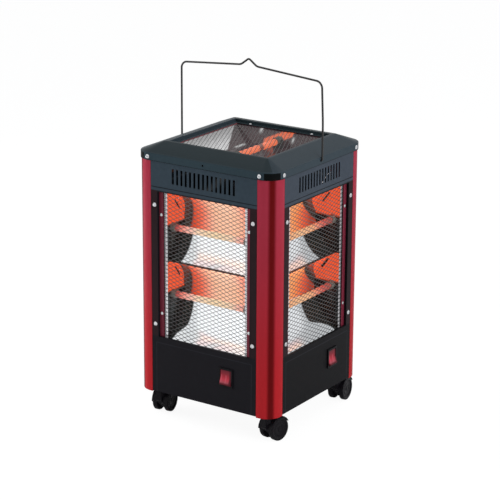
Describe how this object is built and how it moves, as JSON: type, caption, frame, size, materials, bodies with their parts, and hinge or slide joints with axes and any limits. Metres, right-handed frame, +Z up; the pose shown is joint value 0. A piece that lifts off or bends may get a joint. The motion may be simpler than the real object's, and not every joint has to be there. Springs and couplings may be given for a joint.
{
  "type": "electric coil heater",
  "caption": "Square electric heater on swivel castors, with meshed windows and a meshed top before glowing quartz tubes, rocker switches and a wire bail handle.",
  "frame": {"origin": "centre of the bounding box's bottom face, on the floor under the middle of the heater", "axes": "+Z up; the front looks to -Y and the right side to +X; the bail's legs stand on the +X and -X sides"},
  "size_m": [0.2704, 0.2759, 0.5827],
  "materials": {
    "column_red": "gloss red paint",
    "panel_black": "satin black paint",
    "cover_grey": "satin dark slate paint",
    "mesh_silver": "bright expanded steel",
    "mirror_steel": "polished reflector sheet",
    "quartz": "clear quartz glass",
    "coil_glow": "glowing resistance wire",
    "ceramic": "unglazed ceramic",
    "switch_black": "moulded black plastic",
    "switch_red": "moulded red plastic",
    "handle_wire": "black coated steel wire",
    "castor_black": "moulded black nylon",
    "zinc": "zinc plated steel"
  },
  "bodies": {
    "root": {"base_tray": "panel_black", "top_cover": "cover_grey", "top_grille": "mesh_silver", "top_reflector": "mirror_steel", "front_panel": "panel_black", "front_grille": "mesh_silver", "front_reflector": "mirror_steel", "front_reflector_ends": "mirror_steel", "front_switch_body": "switch_black", "front_heating_tubes": "quartz", "right_panel": "panel_black", "right_grille": "mesh_silver", "right_reflector": "mirror_steel", "right_reflector_ends": "mirror_steel", "right_switch_body": "switch_black", "right_heating_tubes": "quartz", "back_panel": "panel_black", "back_grille": "mesh_silver", "back_reflector": "mirror_steel", "back_reflector_ends": "mirror_steel", "back_switch_body": "switch_black", "back_heating_tubes": "quartz", "left_panel": "panel_black", "left_grille": "mesh_silver", "left_reflector": "mirror_steel", "left_reflector_ends": "mirror_steel", "left_switch_body": "switch_black", "left_heating_tubes": "quartz", "top_heating_tube": "quartz", "tube_caps": "ceramic", "heating_coils": "coil_glow", "front_right_post": "panel_black", "front_right_column": "column_red", "back_right_post": "panel_black", "back_right_column": "column_red", "back_left_post": "panel_black", "back_left_column": "column_red", "front_left_post": "panel_black", "front_left_column": "column_red", "castor_stems": "zinc", "castor_nuts": "zinc", "cord_gland": "switch_black", "terminal_block": "ceramic"},
    "bail": {"bail_handle": "handle_wire"},
    "front_switch": {"front_rocker": "switch_red"},
    "right_switch": {"right_rocker": "switch_red"},
    "back_switch": {"back_rocker": "switch_red"},
    "left_switch": {"left_rocker": "switch_red"},
    "front_right_castor": {"front_right_castor_housing": "castor_black"},
    "front_right_wheels": {"front_right_castor_wheels": "castor_black", "front_right_castor_axle": "zinc"},
    "back_right_castor": {"back_right_castor_housing": "castor_black"},
    "back_right_wheels": {"back_right_castor_wheels": "castor_black", "back_right_castor_axle": "zinc"},
    "back_left_castor": {"back_left_castor_housing": "castor_black"},
    "back_left_wheels": {"back_left_castor_wheels": "castor_black", "back_left_castor_axle": "zinc"},
    "front_left_castor": {"front_left_castor_housing": "castor_black"},
    "front_left_wheels": {"front_left_castor_wheels": "castor_black", "front_left_castor_axle": "zinc"}
  },
  "joints": [
    {"name": "bail_swing", "type": "hinge", "parent": "root", "child": "bail", "pos_m": [0, 0, 0.438], "axis": [1, 0, 0], "range_deg": [-84, 84]},
    {"name": "front_switch_tip", "type": "hinge", "parent": "root", "child": "front_switch", "pos_m": [0.044, -0.129, 0.1015], "axis": [1, 0, 0], "range_deg": [0, 20]},
    {"name": "right_switch_tip", "type": "hinge", "parent": "root", "child": "right_switch", "pos_m": [0.129, 0.044, 0.1015], "axis": [0, 1, 0], "range_deg": [0, 20]},
    {"name": "back_switch_tip", "type": "hinge", "parent": "root", "child": "back_switch", "pos_m": [-0.044, 0.129, 0.1015], "axis": [-1, 0, 0], "range_deg": [0, 20]},
    {"name": "left_switch_tip", "type": "hinge", "parent": "root", "child": "left_switch", "pos_m": [-0.129, -0.044, 0.1015], "axis": [0, -1, 0], "range_deg": [0, 20]},
    {"name": "front_right_castor_swivel", "type": "hinge", "parent": "root", "child": "front_right_castor", "pos_m": [0.1035, -0.1035, 0.04], "axis": [0, 0, 1], "continuous": true},
    {"name": "front_right_wheel_spin", "type": "hinge", "parent": "front_right_castor", "child": "front_right_wheels", "pos_m": [0.10628, -0.08774, 0.019], "axis": [0.9848, -0.1736, 0], "continuous": true},
    {"name": "back_right_castor_swivel", "type": "hinge", "parent": "root", "child": "back_right_castor", "pos_m": [0.1035, 0.1035, 0.04], "axis": [0, 0, 1], "continuous": true},
    {"name": "back_right_wheel_spin", "type": "hinge", "parent": "back_right_castor", "child": "back_right_wheels", "pos_m": [0.10155, 0.11938, 0.019], "axis": [0.9925, 0.1219, 0], "continuous": true},
    {"name": "back_left_castor_swivel", "type": "hinge", "parent": "root", "child": "back_left_castor", "pos_m": [-0.1035, 0.1035, 0.04], "axis": [0, 0, 1], "continuous": true},
    {"name": "back_left_wheel_spin", "type": "hinge", "parent": "back_left_castor", "child": "back_left_wheels", "pos_m": [-0.10683, 0.11915, 0.019], "axis": [0.9781, 0.2079, 0], "continuous": true},
    {"name": "front_left_castor_swivel", "type": "hinge", "parent": "root", "child": "front_left_castor", "pos_m": [-0.1035, -0.1035, 0.04], "axis": [0, 0, 1], "continuous": true},
    {"name": "front_left_wheel_spin", "type": "hinge", "parent": "front_left_castor", "child": "front_left_wheels", "pos_m": [-0.10628, -0.08774, 0.019], "axis": [0.9848, 0.1736, 0], "continuous": true}
  ]
}
